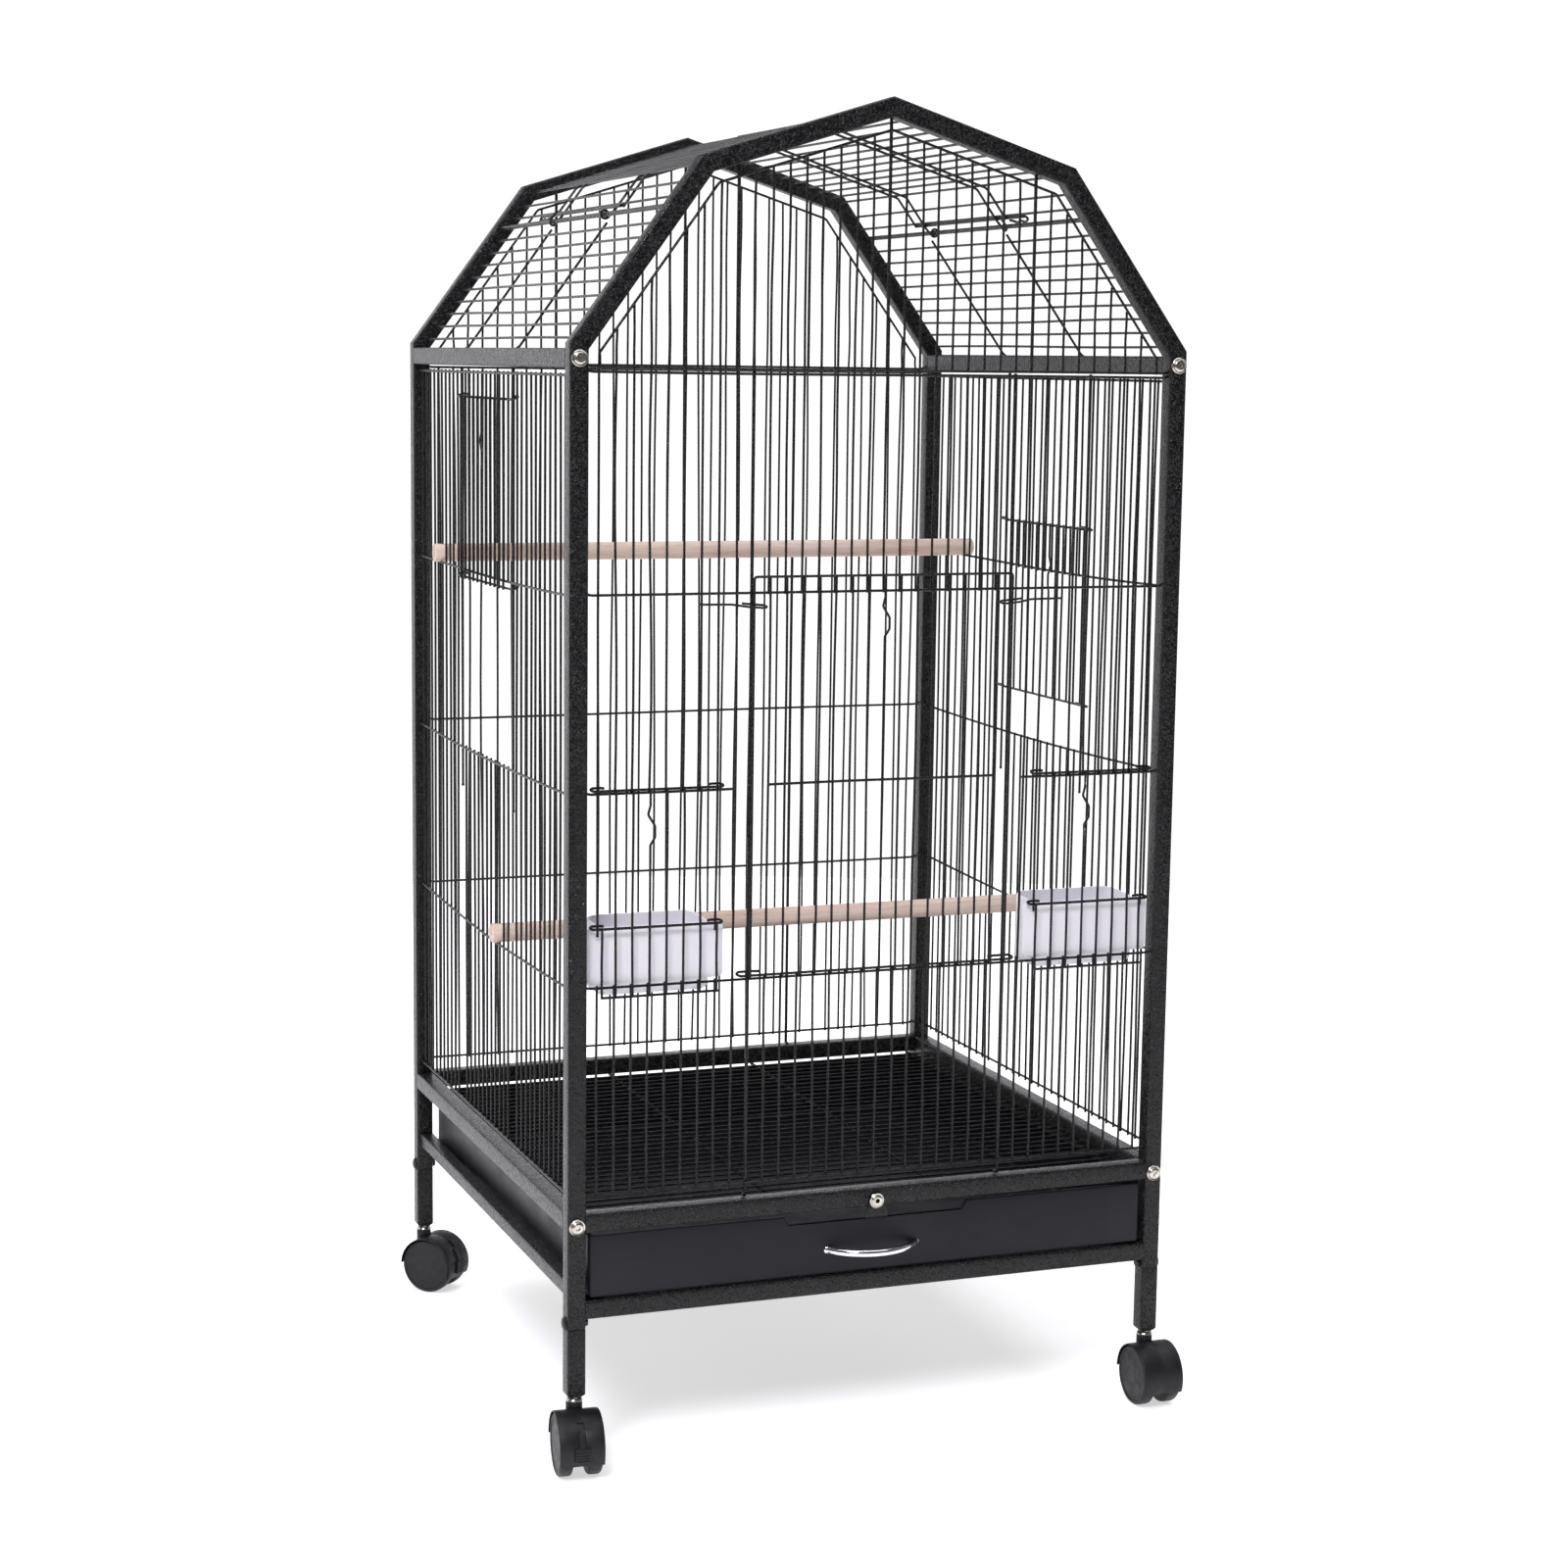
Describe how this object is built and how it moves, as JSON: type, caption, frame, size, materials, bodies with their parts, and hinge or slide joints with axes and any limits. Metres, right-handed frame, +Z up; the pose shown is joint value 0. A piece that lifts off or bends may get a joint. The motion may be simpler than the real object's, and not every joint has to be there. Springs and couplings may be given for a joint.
{
  "type": "bird cage on stand",
  "caption": "Tall rectangular wire bird cage with a house-shaped opening roof, lifting doors, perches, feeder cups, sliding tray and a low wheeled stand.",
  "frame": {"origin": "on the floor, under the middle of the cage's four posts", "axes": "+Z up, -Y out of the front door, +X to the right of a person facing the front"},
  "size_m": [0.5499, 0.5742, 1.073],
  "materials": {
    "frame": "gloss",
    "wire": "gloss",
    "tray": "satin",
    "chrome": "polished",
    "nickel": "satin",
    "blackbolt": "satin",
    "perch": "matte",
    "cup": "satin",
    "casterplastic": "matte",
    "axlesteel": "satin"
  },
  "bodies": {
    "cage": {"front_frame": "frame", "back_frame": "frame", "top_side_rails": "frame", "bottom_side_rails": "frame", "tray_runners": "frame", "roof_tie_rods": "wire", "leg_fl": "frame", "leg_fr": "frame", "leg_bl": "frame", "leg_br": "frame", "leg_bolts": "blackbolt", "frame_bolts": "nickel", "front_panel": "wire", "back_panel": "wire", "left_panel": "wire", "right_panel": "wire", "front_gable": "wire", "back_gable": "wire", "roof_panel_left": "wire", "roof_panel_right": "wire", "floor_grate": "wire", "main_door_clips": "wire", "upper_perch": "perch", "lower_perch": "perch", "feeder_cup_left": "cup", "feeder_cup_right": "cup", "tray_catch_bolt": "nickel", "caster_stems": "nickel"},
    "main_door_body": {"main_door": "wire"},
    "feeder_left_body": {"feeder_door_left": "wire"},
    "feeder_right_body": {"feeder_door_right": "wire"},
    "side_left_body": {"side_door_left": "wire"},
    "side_right_body": {"side_door_right": "wire"},
    "hatch_left_body": {"roof_hatch_left": "wire"},
    "hatch_right_body": {"roof_hatch_right": "wire"},
    "tray_body": {"tray": "tray", "tray_handle": "chrome", "tray_handle_screws": "nickel"},
    "catch_body": {"tray_catch": "tray"},
    "caster_fl": {"hood_fl": "casterplastic", "axle_fl": "axlesteel"},
    "wheel_fl_left": {"wheel_fl_a": "casterplastic"},
    "wheel_fl_right": {"wheel_fl_b": "casterplastic"},
    "caster_fr": {"hood_fr": "casterplastic", "axle_fr": "axlesteel"},
    "wheel_fr_left": {"wheel_fr_a": "casterplastic"},
    "wheel_fr_right": {"wheel_fr_b": "casterplastic"},
    "caster_bl": {"hood_bl": "casterplastic", "axle_bl": "axlesteel"},
    "wheel_bl_left": {"wheel_bl_a": "casterplastic"},
    "wheel_bl_right": {"wheel_bl_b": "casterplastic"},
    "caster_br": {"hood_br": "casterplastic", "axle_br": "axlesteel"},
    "wheel_br_left": {"wheel_br_a": "casterplastic"},
    "wheel_br_right": {"wheel_br_b": "casterplastic"},
    "brake_fl_body": {"brake_fl": "casterplastic"},
    "brake_bl_body": {"brake_bl": "casterplastic"}
  },
  "joints": [
    {"name": "main_door_lift", "type": "slide", "parent": "cage", "child": "main_door_body", "axis": [0, 0, 1], "range_m": [0, 0.285]},
    {"name": "feeder_left_lift", "type": "slide", "parent": "cage", "child": "feeder_left_body", "axis": [0, 0, 1], "range_m": [0, 0.103]},
    {"name": "feeder_right_lift", "type": "slide", "parent": "cage", "child": "feeder_right_body", "axis": [0, 0, 1], "range_m": [0, 0.103]},
    {"name": "side_left_lift", "type": "slide", "parent": "cage", "child": "side_left_body", "axis": [0, 0, 1], "range_m": [-0.145, 0.003]},
    {"name": "side_right_lift", "type": "slide", "parent": "cage", "child": "side_right_body", "axis": [0, 0, 1], "range_m": [-0.037, 0.111]},
    {"name": "hatch_left_open", "type": "hinge", "parent": "cage", "child": "hatch_left_body", "pos_m": [-0.17796, 0, 0.98555], "axis": [0, -1, 0], "range_deg": [0, 150]},
    {"name": "hatch_right_open", "type": "hinge", "parent": "cage", "child": "hatch_right_body", "pos_m": [0.17796, 0, 0.98555], "axis": [0, 1, 0], "range_deg": [0, 150]},
    {"name": "tray_slide", "type": "slide", "parent": "cage", "child": "tray_body", "axis": [0, -1, 0], "range_m": [0, 0.44]},
    {"name": "tray_catch_turn", "type": "hinge", "parent": "cage", "child": "catch_body", "pos_m": [0, -0.2532, 0.198], "axis": [0, 1, 0], "range_deg": [-90, 90]},
    {"name": "caster_fl_swivel", "type": "hinge", "parent": "cage", "child": "caster_fl", "pos_m": [-0.2525, -0.245, 0.05], "axis": [0, 0, 1], "continuous": true},
    {"name": "wheel_fl_left_spin", "type": "hinge", "parent": "caster_fl", "child": "wheel_fl_left", "pos_m": [-0.25375, -0.25693, 0.025], "axis": [0.9945, -0.1045, 0], "continuous": true},
    {"name": "wheel_fl_right_spin", "type": "hinge", "parent": "caster_fl", "child": "wheel_fl_right", "pos_m": [-0.25375, -0.25693, 0.025], "axis": [0.9945, -0.1045, 0], "continuous": true},
    {"name": "brake_fl_press", "type": "hinge", "parent": "caster_fl", "child": "brake_fl_body", "pos_m": [-0.25375, -0.25693, 0.025], "axis": [0.9945, -0.1045, 0], "range_deg": [0, 10]},
    {"name": "caster_fr_swivel", "type": "hinge", "parent": "cage", "child": "caster_fr", "pos_m": [0.2525, -0.245, 0.05], "axis": [0, 0, 1], "continuous": true},
    {"name": "wheel_fr_left_spin", "type": "hinge", "parent": "caster_fr", "child": "wheel_fr_left", "pos_m": [0.2525, -0.257, 0.025], "axis": [1, 0, 0], "continuous": true},
    {"name": "wheel_fr_right_spin", "type": "hinge", "parent": "caster_fr", "child": "wheel_fr_right", "pos_m": [0.2525, -0.257, 0.025], "axis": [1, 0, 0], "continuous": true},
    {"name": "caster_bl_swivel", "type": "hinge", "parent": "cage", "child": "caster_bl", "pos_m": [-0.2525, 0.245, 0.05], "axis": [0, 0, 1], "continuous": true},
    {"name": "wheel_bl_left_spin", "type": "hinge", "parent": "caster_bl", "child": "wheel_bl_left", "pos_m": [-0.24402, 0.23652, 0.025], "axis": [0.7071, 0.7071, 0], "continuous": true},
    {"name": "wheel_bl_right_spin", "type": "hinge", "parent": "caster_bl", "child": "wheel_bl_right", "pos_m": [-0.24402, 0.23652, 0.025], "axis": [0.7071, 0.7071, 0], "continuous": true},
    {"name": "brake_bl_press", "type": "hinge", "parent": "caster_bl", "child": "brake_bl_body", "pos_m": [-0.24402, 0.23652, 0.025], "axis": [0.7071, 0.7071, 0], "range_deg": [0, 10]},
    {"name": "caster_br_swivel", "type": "hinge", "parent": "cage", "child": "caster_br", "pos_m": [0.2525, 0.245, 0.05], "axis": [0, 0, 1], "continuous": true},
    {"name": "wheel_br_left_spin", "type": "hinge", "parent": "caster_br", "child": "wheel_br_left", "pos_m": [0.2484, 0.25628, 0.025], "axis": [-0.9397, -0.342, 0], "continuous": true},
    {"name": "wheel_br_right_spin", "type": "hinge", "parent": "caster_br", "child": "wheel_br_right", "pos_m": [0.2484, 0.25628, 0.025], "axis": [-0.9397, -0.342, 0], "continuous": true}
  ]
}
